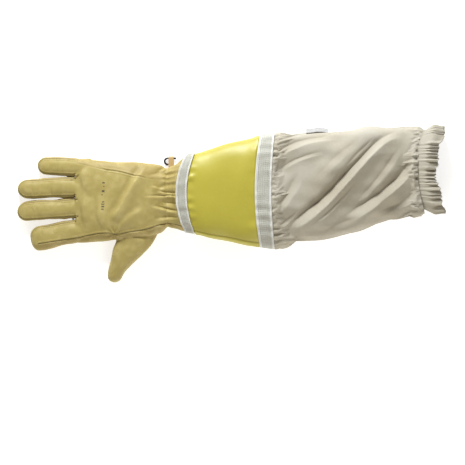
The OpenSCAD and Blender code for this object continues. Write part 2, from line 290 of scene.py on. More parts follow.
def tube_grid(xs, count, outset=0.0):
    """Rings of the gauntlet at the given x, with their UV in metres."""
    rings, uv = [], []
    for x, out_by in zip(xs, np.broadcast_to(outset, len(xs))):
        ring, around = gauntlet_ring(x, count, out_by)
        rings.append(ring)
        uv.append(np.stack([np.arange(count) / count * around, np.full(count, x)], axis=1))
    return np.array(rings), np.concatenate(uv)


def noise_round(grid, seed, size):
    """Noise that runs straight along the tube, so that its waves are gathers."""
    return Noise(seed, size, 2)(grid[..., 1], grid[..., 2])


def displaced(grid, offset, floor):
    """A tube's grid moved along its normals, and kept above a floor."""
    grid = grid + surface_normals(grid, True) * offset[..., None]
    grid[..., 2] = np.maximum(grid[..., 2], floor)
    return grid


# ---------------------------------------------------------------- materials

class Nodes:
    """A short way to write a node tree."""

    def __init__(self, name):
        self.material = bpy.data.materials.new(name)
        self.material.use_nodes = True
        self.tree = self.material.node_tree
        self.shader = self.tree.nodes["Principled BSDF"]

    def add(self, kind, inputs=None, **settings):
        node = self.tree.nodes.new(kind)
        for key, value in settings.items():
            setattr(node, key, value)
        for key, value in (inputs or {}).items():
            if isinstance(value, bpy.types.NodeSocket):
                self.tree.links.new(value, node.inputs[key])
            else:
                node.inputs[key].default_value = value
        return node

    def math(self, operation, a, b=0.0, clamp=False):
        node = self.add("ShaderNodeMath", {0: a, 1: b}, operation=operation, use_clamp=clamp)
        return node.outputs[0]

    def mix(self, share, a, b, blend_type="MIX"):
        node = self.add("ShaderNodeMix", data_type="RGBA", blend_type=blend_type)
        for socket, value in zip((node.inputs[0], node.inputs[6], node.inputs[7]), (share, a, b)):
            if isinstance(value, bpy.types.NodeSocket):
                self.tree.links.new(value, socket)
            else:
                socket.default_value = value if isinstance(value, float) else (*value, 1)
        return node.outputs[2]

    def tint(self, color, value, most, toward, low=0.0, high=1.0):
        """The colour mixed towards another by at most a share, as value goes from low to high."""
        return self.mix(self.ramp(value, low, high, 0.0, most), color, toward)

    def attribute(self, name, output="Fac"):
        return self.add("ShaderNodeAttribute", attribute_name=name).outputs[output]

    def noise(self, vector, scale, detail=3.0, roughness=0.5):
        inputs = {"Vector": vector, "Scale": scale, "Detail": detail, "Roughness": roughness}
        return self.add("ShaderNodeTexNoise", inputs).outputs["Fac"]

    def ramp(self, value, low, high, out_low=0.0, out_high=1.0):
        inputs = {"Value": value, "From Min": low, "From Max": high,
                  "To Min": out_low, "To Max": out_high}
        return self.add("ShaderNodeMapRange", inputs).outputs[0]

    def bump(self, height, distance, strength=1.0, normal=None):
        inputs = {"Height": height, "Distance": distance, "Strength": strength}
        if normal is not None:
            inputs["Normal"] = normal
        return self.add("ShaderNodeBump", inputs).outputs["Normal"]

    def finish(self, color, normal, roughness, **uniform):
        self.tree.links.new(color, self.shader.inputs["Base Color"])
        self.tree.links.new(normal, self.shader.inputs["Normal"])
        if isinstance(roughness, bpy.types.NodeSocket):
            self.tree.links.new(roughness, self.shader.inputs["Roughness"])
        else:
            self.shader.inputs["Roughness"].default_value = roughness
        for key, value in uniform.items():
            self.shader.inputs[key.replace("_", " ")].default_value = value
        return self.material


# A faded size stamp, kept generic: short ink bars, x and y from the wrist, half sizes
INK_BARS = [(-0.0885, 0.0200, 0.0019, 0.0011), (-0.0880, 0.0145, 0.0010, 0.0006),
            (-0.0890, 0.0075, 0.0020, 0.0017), (-0.0905, 0.0020, 0.0009, 0.0007),
            (-0.0890, -0.0085, 0.0018, 0.0009), (-0.0895, -0.0120, 0.0022, 0.0008),
            (-0.0895, -0.0155, 0.0020, 0.0011), (-0.0900, -0.0195, 0.0019, 0.0009)]


def ink_marks(n, rest):
    """1 inside the ink bars on the back of the hand, with a worn edge."""
    split = n.add("ShaderNodeSeparateXYZ", {0: rest})
    wobble = n.math("MULTIPLY", n.noise(rest, 700.0, 2.0), 0.0014)

    def within(axis, middle, half):
        away = n.math("ABSOLUTE", n.math("SUBTRACT", split.outputs[axis], middle))
        return n.math("LESS_THAN", n.math("ADD", away, wobble), half + 0.0007)

    mark = None
    for x, y, half_x, half_y in INK_BARS:
        both = n.math("MULTIPLY", within(0, x + WRIST[0], half_x), within(1, y + HAND_Y, half_y))
        mark = both if mark is None else n.math("MAXIMUM", mark, both)
    top = n.math("GREATER_THAN", split.outputs[2], 0.015)
    return n.math("MULTIPLY", mark, top)


def leather_material(name, base, dark, light, stamped=False):
    """Smooth goatskin: fine pebbled grain, soft mottling, painted shade in its sunk seams and
    crotch grooves, painted highlight on its fold crests.
    """
    n = Nodes(name)
    rest = n.attribute("rest", "Vector")
    color = n.tint(base, n.noise(rest, 24.0, 4.0, 0.55), 0.8, dark, 0.28, 0.75)
    color = n.tint(color, n.noise(rest, 90.0, 3.0), 0.45, light, 0.45, 0.8)
    # Painted highlight: paler on the crests of the folds and wrist pleats.
    color = n.tint(color, n.attribute("fold"), 0.55, light)
    # Painted shade: much darker in the sunk seams and the crotch grooves.
    color = n.tint(color, n.attribute("seam"), 0.6, tuple(c * 0.36 for c in dark))
    if stamped:
        color = n.tint(color, ink_marks(n, rest), 0.85, (0.045, 0.04, 0.03))
    pores = n.add("ShaderNodeTexVoronoi", {"Vector": rest, "Scale": 950.0}).outputs["Distance"]
    grain = n.math("ADD", n.math("MULTIPLY", pores, 0.6), n.noise(rest, 1700.0, 2.0))
    normal = n.bump(grain, 0.00012, 0.55)
    normal = n.bump(n.noise(rest, 260.0, 4.0, 0.65), 0.0005, 0.22, normal)
    roughness = n.ramp(n.noise(rest, 60.0, 3.0), 0.3, 0.7, 0.50, 0.61)
    return n.finish(color, normal, roughness, Specular_IOR_Level=0.42, Sheen_Weight=0.05)


def weave(n, pitch_u, pitch_v):
    """A plain weave's height from the UV in metres, and a per-thread colour variation."""
    uv = n.add("ShaderNodeUVMap").outputs["UV"]
    split = n.add("ShaderNodeSeparateXYZ", {0: uv})
    u = n.math("MULTIPLY", split.outputs[0], math.pi / pitch_u)
    v = n.math("MULTIPLY", split.outputs[1], math.pi / pitch_v)
    return n.math("MULTIPLY", n.math("SINE", u), n.math("SINE", v)), n.noise(uv, 300.0, 2.0)


def canvas_material():
    """Cream cotton canvas: plain weave, slubs, painted shade in the fold valleys and in the low
    points of the weave.
    """
    n = Nodes("canvas")
    height, threads = weave(n, 0.0007, 0.0008)
    rest = n.attribute("rest", "Vector")
    color = n.tint((0.495, 0.468, 0.39), n.noise(rest, 14.0, 4.0), 1.0, (0.44, 0.398, 0.305),
                   0.35, 0.7)
    color = n.tint(color, threads, 0.35, (0.53, 0.50, 0.41), 0.35, 0.7)
    # Painted shade: darker in the fold valleys on the canvas's upper face.
    color = n.tint(color, n.attribute("fold"), 0.5, (0.33, 0.27, 0.18))
    color = n.tint(color, n.attribute("seam"), 0.7, (0.38, 0.34, 0.27))
    # Painted shade: darker in the low points of the weave, between the threads.
    color = n.mix(n.ramp(height, -1.0, 1.0, 0.14, 0.0), color, (0.30, 0.26, 0.20))
    normal = n.bump(n.math("ADD", height, threads), 0.00018, 0.6)
    normal = n.bump(n.noise(rest, 130.0, 4.0, 0.6), 0.0012, 0.35, normal)
    return n.finish(color, normal, 0.92, Specular_IOR_Level=0.15, Sheen_Weight=0.25)


def knit_material(name, cell):
    """White knitted elastic: a grid of small cells, with plain cords along both edges."""
    n = Nodes(name)
    uv = n.add("ShaderNodeUVMap").outputs["UV"]
    split = n.add("ShaderNodeSeparateXYZ", {0: uv})

    def wave(axis, pitch):
        return n.math("SINE", n.math("MULTIPLY", split.outputs[axis], 2 * math.pi / pitch))

    holes = n.math("MULTIPLY", n.ramp(wave(0, cell), -0.2, 0.9), n.ramp(wave(1, cell), -0.2, 0.9))
    plain = n.attribute("edge")
    holes = n.math("MULTIPLY", holes, n.math("SUBTRACT", 1.0, plain), True)
    color = n.tint((0.50, 0.497, 0.44), n.noise(uv, 60.0, 3.0), 1.0, (0.44, 0.436, 0.375),
                   0.4, 0.7)
    color = n.tint(color, holes, 0.62, (0.30, 0.30, 0.25))
    color = n.tint(color, plain, 0.6, (0.80, 0.80, 0.77))
    ribs = n.math("MULTIPLY", wave(0, 0.0011), 0.12)
    normal = n.bump(n.math("ADD", n.math("MULTIPLY", holes, -1.0), ribs), 0.0005, 0.8)
    return n.finish(color, normal, 0.85, Specular_IOR_Level=0.2, Sheen_Weight=0.2)


def vinyl_material():
    """Smooth yellow coated cloth: satin, a faint print-through of its weave, a dark lap line."""
    n = Nodes("yellow_vinyl")
    height, _ = weave(n, 0.0011, 0.0011)
    rest = n.attribute("rest", "Vector")
    color = n.tint((0.475, 0.418, 0.048), n.noise(rest, 16.0, 3.0), 1.0, (0.44, 0.383, 0.042),
                   0.35, 0.7)
    color = n.tint(color, n.noise(rest, 240.0, 3.0), 0.3, (0.53, 0.465, 0.066), 0.5, 0.8)
    color = n.tint(color, n.attribute("seam"), 0.75, (0.26, 0.21, 0.03))
    normal = n.bump(n.math("ADD", height, n.noise(rest, 900.0, 2.0)), 0.00006, 0.5)
    normal = n.bump(n.noise(rest, 70.0, 3.0), 0.0007, 0.35, normal)
    roughness = n.ramp(n.noise(rest, 40.0, 3.0), 0.3, 0.7, 0.36, 0.5)
    return n.finish(color, normal, roughness, Specular_IOR_Level=0.5, Coat_Weight=0.12,
                    Coat_Roughness=0.35)


def label_material():
    """Pale grey satin ribbon, blank, with a soft weave."""
    n = Nodes("label_satin")
    height, threads = weave(n, 0.0005, 0.0006)
    color = n.tint((0.385, 0.385, 0.38), threads, 1.0, (0.355, 0.355, 0.345), 0.3, 0.7)
    normal = n.bump(height, 0.00008, 0.5)
    return n.finish(color, normal, 0.5, Specular_IOR_Level=0.4, Sheen_Weight=0.2)


def thread_material():
    """Off-white sewing thread with a twist."""
    n = Nodes("sewing_thread")
    place = n.add("ShaderNodeTexCoord").outputs["Object"]
    inputs = {"Vector": place, "Scale": 900.0, "Distortion": 2.0}
    twist = n.add("ShaderNodeTexWave", inputs).outputs["Fac"]
    color = n.mix(twist, (0.70, 0.69, 0.64), (0.52, 0.51, 0.46))
    normal = n.bump(twist, 0.0001, 0.5)
    return n.finish(color, normal, 0.6, Specular_IOR_Level=0.3, Sheen_Weight=0.2)


def black_wire_material():
    """Black lacquered wire with worn spots."""
    n = Nodes("black_lacquer")
    place = n.add("ShaderNodeTexCoord").outputs["Object"]
    wear = n.ramp(n.noise(place, 600.0, 4.0), 0.56, 0.72)
    color = n.mix(wear, (0.012, 0.012, 0.013), (0.06, 0.058, 0.055))
    normal = n.bump(n.noise(place, 1500.0, 3.0), 0.0001, 0.4)
    return n.finish(color, normal, n.ramp(wear, 0.0, 1.0, 0.28, 0.5), Metallic=0.35)


BACK_LEATHER = leather_material("back_leather", (0.425, 0.343, 0.106), (0.365, 0.288, 0.084),
                                (0.60, 0.50, 0.215), True)
PALM_LEATHER = leather_material("palm_leather", (0.385, 0.298, 0.090), (0.33, 0.248, 0.072),
                                (0.56, 0.46, 0.19))
STRAP_LEATHER = leather_material("strap_leather", (0.54, 0.38, 0.17), (0.44, 0.28, 0.11),
                                 (0.64, 0.48, 0.26))
CANVAS = canvas_material()
KNIT = knit_material("knitted_elastic", 0.0030)
TAPE = knit_material("woven_tape", 0.0018)
VINYL = vinyl_material()
LABEL = label_material()
THREAD = thread_material()
WIRE = black_wire_material()


def dress(obj, material):
    obj.data.materials.clear()
    obj.data.materials.append(material)


def sew_on(obj, material, node):
    """A piece of cloth on the gauntlet, in place of a CAD node."""
    dress(obj, material)
    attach(obj, "gauntlet")
    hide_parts(node)


# ---------------------------------------------------------------- gauntlet

def band_ripple(grid, seed, size, depth):
    """Soft uneven waves round a band, as an offset along its normals."""
    return Noise(seed, size, 3)(grid[..., 0] * 0.25, grid[..., 1], grid[..., 2]) * depth


def elastic_band(name, x0, x1, material, node, seed, ripple, roll):
    """A tape or webbing round the glove, with a thicker cord rolled into each edge."""
    xs = np.linspace(x0, x1, 25)
    grid, uv = tube_grid(xs, BAND_POINTS, BAND_OUTSET)
    near = np.minimum(xs - x0, x1 - xs)
    rolled = roll * bell(near - 0.0011, 0.0009) - 0.0006 * bell(near - 0.0032, 0.001)
    grid = displaced(grid, band_ripple(grid, seed, 0.016, ripple) + rolled[:, None], 0.0002)
    edge = np.repeat((near < 0.0028).astype(float)[:, None], BAND_POINTS, axis=1)
    obj = thick_sheet(name, grid, BAND_THICKNESS, True, uv, {"edge": edge})
    sew_on(obj, material, node)


def forearm_band():
    """The smooth yellow band: a cone of coated cloth with soft dents and a lapped side seam."""
    x0, x1 = (TAPE_X + BAND_X) / 2, (WEBBING_X + SLEEVE_X) / 2
    xs = np.linspace(x0, x1, 90)
    grid, uv = tube_grid(xs, BAND_POINTS)
    share = np.linspace(0, 1, BAND_POINTS, endpoint=False)[None, :]
    along = ((xs - x0) / (x1 - x0))[:, None]
    dents = Noise(11, 0.075, 3)(*np.moveaxis(grid, 2, 0)) * 0.0006
    near_web = smooth_step(xs, x1 - 0.03, x1 - 0.012)[:, None]
    gathers = noise_round(grid, 12, 0.022) * 0.0008 * near_web
    near_tape = smooth_step(xs, x0 + 0.022, x0 + 0.008)[:, None]
    gathers = gathers + noise_round(grid, 13, 0.018) * 0.0006 * near_tape
    lap_at = 0.452 + 0.004 * along
    lap = smooth_step(share, lap_at, lap_at + 0.004) * smooth_step(share, 0.60, 0.56)
    shown = (smooth_step(xs, BAND_X - 0.001, BAND_X + 0.002)
             * smooth_step(xs, WEBBING_X + 0.001, WEBBING_X - 0.002))[:, None]
    offset = (dents + gathers + lap * 0.0012) * shown - 0.0009 * (1 - shown)
    grid = displaced(grid, offset, 0.0006)
    line = bell(share - lap_at + 0.001, 0.0022)
    obj = thick_sheet("forearm_band_cloth", grid, BAND_THICKNESS, True, uv, {"seam": line})
    sew_on(obj, VINYL, "forearm_band")


# Folds of the canvas on its upper face: points on each one's ridge, x from the webbing's far
# edge and y from the wrist's middle, then its height and half width
SLEEVE_FOLDS = [
    [(0.030, -0.058), (0.041, -0.043), (0.082, -0.009), (0.127, 0.041), (0.163, 0.078),
     (0.200, 0.094), 0.0098, 0.0062],
    [(0.098, -0.049), (0.132, -0.028), (0.164, -0.004), (0.202, 0.033), (0.213, 0.068),
     0.0074, 0.0066],
    [(0.006, 0.052), (0.021, 0.066), (0.056, 0.079), (0.110, 0.088), 0.0040, 0.0055],
    [(0.060, 0.010), (0.090, 0.044), (0.118, 0.068), (0.140, 0.082), 0.0014, 0.0060],
    [(0.004, -0.030), (0.020, -0.014), (0.036, 0.010), (0.048, 0.036), 0.0030, 0.0070],
    [(0.118, -0.030), (0.150, 0.010), (0.176, 0.044), (0.196, 0.074), 0.0020, 0.0050],
    [(0.150, -0.034), (0.184, -0.022), (0.208, -0.006), (0.220, 0.014), 0.0030, 0.0055],
    [(0.196, 0.020), (0.205, 0.044), (0.210, 0.062), (0.217, 0.084), 0.0026, 0.0045],
    [(0.060, -0.066), (0.092, -0.052), (0.116, -0.044), (0.140, -0.036), 0.0018, 0.0050],
    [(0.052, -0.046), (0.078, -0.030), (0.104, -0.004), (0.128, 0.024), 0.0016, 0.0026],
    [(0.098, 0.028), (0.124, 0.058), (0.140, 0.074), (0.152, 0.086), 0.0016, 0.0028],
    [(0.010, 0.034), (0.026, 0.046), (0.048, 0.056), (0.080, 0.064), 0.0018, 0.0030],
    [(0.004, -0.052), (0.016, -0.046), (0.030, -0.034), (0.040, -0.022), 0.0020, 0.0030],
]


def curve_distance(px, py, corners):
    """Signed sideways distance from a smooth curve through the corners, and the share along it."""
    corners = np.array(corners)
    t = np.linspace(0, 1, len(corners))
    fine = np.linspace(0, 1, 41)
    cx = smooth_lookup(fine, t, corners[:, 0])
    cy = smooth_lookup(fine, t, corners[:, 1])
    best = np.full(px.shape, 1e9)
    side = np.zeros(px.shape)
    share = np.zeros(px.shape)
    for k in range(40):
        ax, ay, bx, by = cx[k], cy[k], cx[k + 1], cy[k + 1]
        dx, dy = bx - ax, by - ay
        s = np.clip(((px - ax) * dx + (py - ay) * dy) / (dx * dx + dy * dy), 0, 1)
        ex, ey = px - ax - s * dx, py - ay - s * dy
        d = np.hypot(ex, ey)
        closer = d < best
        best = np.where(closer, d, best)
        side = np.where(closer, np.sign(dx * ey - dy * ex) * d, side)
        share = np.where(closer, (k + s) / 40, share)
    return side, share


def fold_field(px, py, folds, trough_share, crest=2.0):
    """Height of all folds, and how deep in a valley each point lies.

    Each fold rises steeply out of a valley on its upper left side and falls gently on the other.
    """
    height = np.zeros(px.shape)
    valley = np.zeros(px.shape)
    for *corners, high, wide in folds:
        side, share = curve_distance(px, py, corners)
        fade = smooth_step(share, 0, 0.36) * smooth_step(share, 1, 0.64)
        ridge = bell(side, np.where(side > 0, wide * 0.9, wide * 2.0), crest)
        trough = bell(side - 1.65 * wide, 0.8 * wide, crest)
        height += fade * high * (ridge - trough_share * trough)
        valley += fade * trough
    return height, np.clip(valley, 0, 1)


def wrist_pleats():
    """Uneven small folds that fan out of the gathered wrist, to both sides of it."""
    rng = np.random.default_rng(65)
    folds = []
    for k in range(12):
        y = -0.0435 + 0.087 * (k + 0.5) / 12 + rng.uniform(-0.0030, 0.0030)
        reach = rng.choice([0.010, 0.016, 0.026, 0.038]) * rng.uniform(0.8, 1.2)
        slant = rng.uniform(-0.009, 0.009) - 0.010 * smooth_step(y, 0.010, 0.034)
        fan = y * rng.uniform(0.1, 0.4) + rng.uniform(-0.004, 0.004)
        ridge = [(0.005 - reach, y + slant), (0.001, y + slant * 0.3), (0.009, y), (0.036, y + fan)]
        folds.append([*ridge, rng.uniform(0.0008, 0.0021), rng.uniform(0.0017, 0.0040)])
    return folds


def settled_cloth(grid, first_free, last_free):
    """The tube let go as cloth between its two sewn ends; returns it where it came to rest.

    The cloth is a little larger than the tube, so its placed folds sharpen and small ones form.
    """
    rows = np.unique(np.linspace(0, grid.shape[0] - 1, 84).astype(int))
    columns = np.arange(0, grid.shape[1], 2)
    coarse = grid[np.ix_(rows, columns)]
    m, n, _ = coarse.shape
    obj = make_object("cloth_run", coarse.reshape(-1, 3), grid_faces(m, n, True)[:, ::-1])
    held = obj.vertex_groups.new(name="sewn")
    sewn = np.nonzero((rows <= first_free) | (rows >= last_free))[0]
    held.add([int(i * n + j) for i in sewn for j in range(n)], 1.0, "REPLACE")
    cloth = obj.modifiers.new("cloth", "CLOTH")
    for key, value in {"quality": 7, "mass": 0.02, "tension_stiffness": 12,
                       "compression_stiffness": 12, "shear_stiffness": 4,
                       "bending_stiffness": 0.03, "vertex_group_mass": "sewn",
                       "shrink_min": -0.035, "use_pressure": True,
                       "uniform_pressure_force": 0.6}.items():
        setattr(cloth.settings, key, value)
    cloth.settings.effector_weights.gravity = 0.5
    cloth.collision_settings.distance_min = 0.0008
    ground = plane("cloth_ground", 1, 0)
    ground.modifiers.new("ground", "COLLISION")
    ground.collision.thickness_outer = 0.001
    for step in range(1, 19):
        bpy.context.scene.frame_set(step)
    settled = obj.evaluated_get(bpy.context.evaluated_depsgraph_get())
    moved = read(settled.data.vertices, "co", 3).reshape(m, n, 3) - coarse
    bpy.data.objects.remove(obj)
    bpy.data.objects.remove(ground)
    bpy.context.scene.frame_set(1)
    size = np.linalg.norm(moved, axis=2, keepdims=True)
    moved *= np.minimum(1, MOST_SETTLING / np.maximum(size, 1e-9))
    row = np.interp(np.arange(grid.shape[0]), rows, np.arange(m))
    low = np.minimum(row.astype(int), m - 2)
    share = (row - low)[:, None, None]
    between = moved[low] * (1 - share) + moved[low + 1] * share
    full = np.empty_like(grid)
    full[:, 0::2] = between
    full[:, 1::2] = (between + np.roll(between, -1, axis=1)) / 2
    return grid + full


def canvas_sleeve():
    """The canvas sleeve: eased over the webbing, crossed by slanting folds, gathered at the hem."""
    x0, x1 = (WEBBING_X + SLEEVE_X) / 2, HEM_X + 0.001
    xs = np.linspace(x0, x1, 230)
    grid, uv = tube_grid(xs, SLEEVE_POINTS)
    share = np.linspace(0, 1, SLEEVE_POINTS, endpoint=False)[None, :]
    px, py = grid[..., 0] - SLEEVE_X, grid[..., 1] - HAND_Y
    upper = smooth_step(surface_normals(grid, True)[..., 2], -0.1, 0.35)
    height, valley = fold_field(px, py, SLEEVE_FOLDS, 0.8, 1.4)
    broad = Noise(21, 0.10, 3)(*np.moveaxis(grid, 2, 0)) * 0.0020
    crumple = Noise(22, 0.03, 3)(grid[..., 0] * 0.6, grid[..., 1], grid[..., 2]) * 0.0006
    reach = 0.016 + 0.007 * Noise(26, 1.1, 1)(share * 2 * np.pi)
    start = smooth_step(xs[:, None], SLEEVE_X + reach, SLEEVE_X)
    gather_a = noise_round(grid, 23, 0.0105) * 0.0013 * start
    end = smooth_step(xs[:, None], HEM_X - reach, HEM_X - 0.002)
    gather_b = noise_round(grid, 24, 0.010) * 0.0011 * end
    clear = smooth_step(xs, x0 + 0.010, x0 + 0.022)[:, None]
    pinch = 0.0022 * bell(xs - HEM_X + 0.012, 0.009) - 0.0036 * bell(xs - HEM_X, 0.0045)
    under = smooth_step(xs, SLEEVE_X + 0.001, SLEEVE_X - 0.002)[:, None]
    offset = (height * upper + broad + crumple) * clear + gather_a * (1 - under)
    offset = (offset + gather_b + pinch[:, None]) * (1 - under) - 0.0014 * under
    grid = displaced(grid, offset, 0.0006)
    free = np.nonzero((xs > SLEEVE_X + 0.002) & (xs < HEM_X - 0.001))[0]
    grid = settled_cloth(grid, free[0], free[-1])
    grid[..., 2] = np.maximum(grid[..., 2], 0.0006)
    seam_line = bell(np.minimum(share, 1 - share), 0.004) * np.ones_like(valley)
    # Marks the fold valleys on the upper face for painted shade, and the side seam.
    obj = thick_sheet("canvas_sleeve_cloth", grid, 0.0008, True, uv,
                      {"fold": valley * upper * 0.55, "seam": seam_line * 0.4})
    sew_on(obj, CANVAS, "canvas_sleeve")
    return grid


def hem():
    """The hem channel: ruffled past its elastic, and turned back inside."""
    out = np.linspace(HEM_X - 0.001, END_X - 0.004, 46)
    back = np.linspace(END_X - 0.004, HEM_X + 0.004, 30)[1:]
    xs = np.concatenate([out, back])
    depth = np.concatenate([np.zeros(len(out)), np.full(len(back), 0.0022)])
    grid, uv = tube_grid(xs, HEM_POINTS, -depth)
    uv[:, 1] = np.repeat(np.arange(len(xs)) * 0.0009, HEM_POINTS)
    turn = smooth_step(xs, HEM_X + 0.004, END_X - 0.006)[:, None]
    angle = np.arange(HEM_POINTS)[None, :] / HEM_POINTS * 2 * np.pi
    drift = Noise(31, 0.9, 1)(angle) * 2.2
    ruffle = np.sin(43 * angle + 1.3 * drift) + 0.6 * np.sin(71 * angle + 2.1 * drift)
    swell = 0.0034 * np.sin(np.pi * turn) - 0.0036 * bell(xs - HEM_X, 0.0045)[:, None]
    offset = ruffle * (0.0003 + 0.0021 * turn ** 1.5) + swell
    offset = offset + noise_round(grid, 32, 0.05) * 0.0016 * turn
    normal = surface_normals(grid[:len(out)], True)
    inward = np.concatenate([normal, np.repeat(normal[-1:], len(back), axis=0)])
    grid = grid + inward * offset[..., None]
    wander = Noise(33, 1.3, 1)(angle) * 0.0016
    grid[..., 0] += (np.sin(43 * angle + 1.3 * drift + 1.2) * 0.0013 + wander) * turn
    grid[..., 2] = np.maximum(grid[..., 2], 0.0004 + depth[:, None])
    # Painted shade in the ruffle's troughs, stronger where the hem turns back.
    fold = np.clip(0.35 - ruffle, 0, 1) * (0.25 + 0.75 * turn)
    obj = thick_sheet("hem_ruffle", grid, 0.0007, True, uv, {"fold": fold * 0.8})
    sew_on(obj, CANVAS, "hem_channel")


def inner_elastic(name, x0, x1, outset, node, seed):
    """An elastic sewn inside a gather."""
    grid, uv = tube_grid(np.linspace(x0, x1, 12), 300, outset)
    grid = displaced(grid, band_ripple(grid, seed, 0.012, 0.0003), 0.0035)
    obj = thick_sheet(name, grid, 0.0009, True, uv, {"edge": np.zeros(grid.shape[:2])})
    sew_on(obj, TAPE, node)


def sleeve_label(sleeve):
    """A blank ribbon caught in the sleeve's side seam, hanging outwards and down from it."""
    low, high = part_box("sleeve_label")
    xs = np.linspace(low[0], high[0], 26)
    rise = np.linspace(-0.001, 0.0145, 12)
    grid = np.zeros((len(xs), len(rise), 3))
    flutter = Noise(41, 0.03, 1)
    sides = sleeve[np.arange(sleeve.shape[0]), sleeve[..., 1].argmax(axis=1)]
    for i, x in enumerate(xs):
        side = row_between(x, sides[:, 0], sides)
        curl = flutter(np.array([x]))[0] * 0.0006
        grid[i, :, 0] = x
        grid[i, :, 1] = side[1] - 0.0002 + rise * 0.42 + curl
        grid[i, :, 2] = side[2] + 0.004 - rise * 0.90
    uv = np.stack([np.repeat(xs, len(rise)), np.tile(rise, len(xs))], axis=1)
    obj = thick_sheet("sleeve_label_ribbon", grid, 0.0004, False, uv)
    sew_on(obj, LABEL, "sleeve_label")


def stitches(name, path, outward):
    """A row of thread stitches along a path, each a rounded bead half sunk in the cloth."""
    steps = np.linalg.norm(np.diff(path, axis=0), axis=1)
    along = np.concatenate([[0], np.cumsum(steps)])
    middles = np.arange(STITCH_LENGTH, along[-1] - STITCH_LENGTH, STITCH_LENGTH + STITCH_GAP)
    ring = np.linspace(0, 2 * np.pi, 6, endpoint=False)
    profile = [(-0.5, 0.25), (-0.38, 0.85), (0.0, 1.0), (0.38, 0.85), (0.5, 0.25)]
    points, faces = [], []
    for middle in middles:
        at = row_between(middle, along, path)
        ahead = row_between(middle + STITCH_LENGTH / 2, along, path) - at
        ahead /= np.linalg.norm(ahead)
        up = row_between(middle, along, outward)
        up /= np.linalg.norm(up)
        side = np.cross(ahead, up)
        start = len(points)
        for share, wide in profile:
            for a in ring:
                out = (side * math.cos(a) + up * math.sin(a)) * STITCH_RADIUS * wide
                points.append(at + ahead * share * STITCH_LENGTH + out)
        faces += grid_faces(len(profile), 6, True, start).tolist()
        faces.append([start + k for k in range(6)])
        faces.append([start + 6 * (len(profile) - 1) + k for k in range(5, -1, -1)])
    obj = make_object(name, points, faces)
    dress(obj, THREAD)
    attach(obj, "gauntlet")


def stitch_rows():
    """Thread along both edges of the tape and of the webbing."""
    for name, x in (("tape_stitches_a", TAPE_X + 0.0036), ("tape_stitches_b", BAND_X - 0.0032),
                    ("webbing_stitches_a", WEBBING_X + 0.0036),
                    ("webbing_stitches_b", SLEEVE_X - 0.0036)):
        ring, _ = gauntlet_ring(x, 400, STITCH_OUTSET)
        ring = np.concatenate([ring, ring[:1]])
        stitches(name, ring, (ring - ring.mean(axis=0)) * np.array([0, 0.35, 1.0]))


def gauntlet():
    elastic_band("cuff_tape_cloth", TAPE_X, BAND_X, TAPE, "cuff_tape",
                 51, 0.00045, 0.0012)
    forearm_band()
    elastic_band("webbing_knit", WEBBING_X, SLEEVE_X, KNIT, "webbing",
                 52, 0.00050, 0.0006)
    sleeve = canvas_sleeve()
    hem()
    inner_elastic("wrist_elastic_knit", WRIST[0] + 0.003, WRIST[0] + 0.011, -0.0078,
                  "wrist_elastic", 53)
    inner_elastic("hem_elastic_knit", HEM_X + 0.002, HEM_X + 0.010, -0.0095, "hem_elastic", 54)
    sleeve_label(sleeve)
    stitch_rows()


# ---------------------------------------------------------------- leather hand

def finger_facts(name):
    """Where a finger's tip and joints are, how its middle line slants, and how wide it is."""
    root, joint = JOINT[name + "_knuckle"], JOINT[name + "_middle_joint"]
    slope = (joint[1] - root[1]) / (joint[0] - root[0])
    low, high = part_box(name + "_sides_base")
    width = high[1] - low[1] - abs(slope * (high[0] - low[0]))
    return {"tip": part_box(name + "_sides_tip")[0][0], "root": root, "joint": joint,
            "slope": slope, "width": width}


FINGER = {name: finger_facts(name) for name in FINGERS}


def finger_middle(name, x):
    f = FINGER[name]
    return f["root"][1] + f["slope"] * (x - f["root"][0])


def lofted(name, rings):
    """A closed tube through the rings, with a fan cap at each end."""
    grid = np.array(rings)
    m, n, _ = grid.shape
    points = np.concatenate([grid.reshape(-1, 3), [grid[0].mean(axis=0)], [grid[-1].mean(axis=0)]])
    j = np.arange(n)
    k = (j + 1) % n
    faces = grid_faces(m, n, True).tolist()
    faces += np.stack([np.full(n, m * n), j, k], axis=1).tolist()
    last = (m - 1) * n
    faces += np.stack([np.full(n, m * n + 1), last + k, last + j], axis=1).tolist()
    return make_object(name, points, faces)


def finger_rings(name):
    """A finger from its rounded tip to well inside the hand."""
    f = FINGER[name]
    half = f["width"] / 2
    length = f["root"][0] - f["tip"]
    cap = f["tip"] + 0.0001 + (1 - np.cos(np.linspace(0, np.pi / 2, 14))) * half
    shaft = np.linspace(f["tip"] + half * 1.05, f["root"][0] + 0.022, 20)
    rings = []
    for x in np.concatenate([cap, shaft]):
        d = x - f["tip"]
        round_tip = math.sqrt(max(1 - max(1 - d / half, 0) ** 2, 0.0001)) ** 0.9
        along = min(d / length, 1.0)
        wide = half * round_tip * (0.955 + 0.05 * math.sin(math.pi * min(along * 1.15, 1)))
        palm_strip = (0.0048 - 0.0026 * along) * round_tip if name == "index" else 0.0
        wide += palm_strip
        tall = (0.0185 + 0.0045 * along) * round_tip ** 0.8
        lift = 0.0008 + (1 - round_tip) * 0.0065
        y, z, _ = section(wide, tall, lift, FINGER_POINTS, 2.35, 0.0010 * round_tip)
        y = finger_middle(name, x) - palm_strip + y
        rings.append(np.stack([np.full(FINGER_POINTS, x), y, z], axis=1))
    return rings


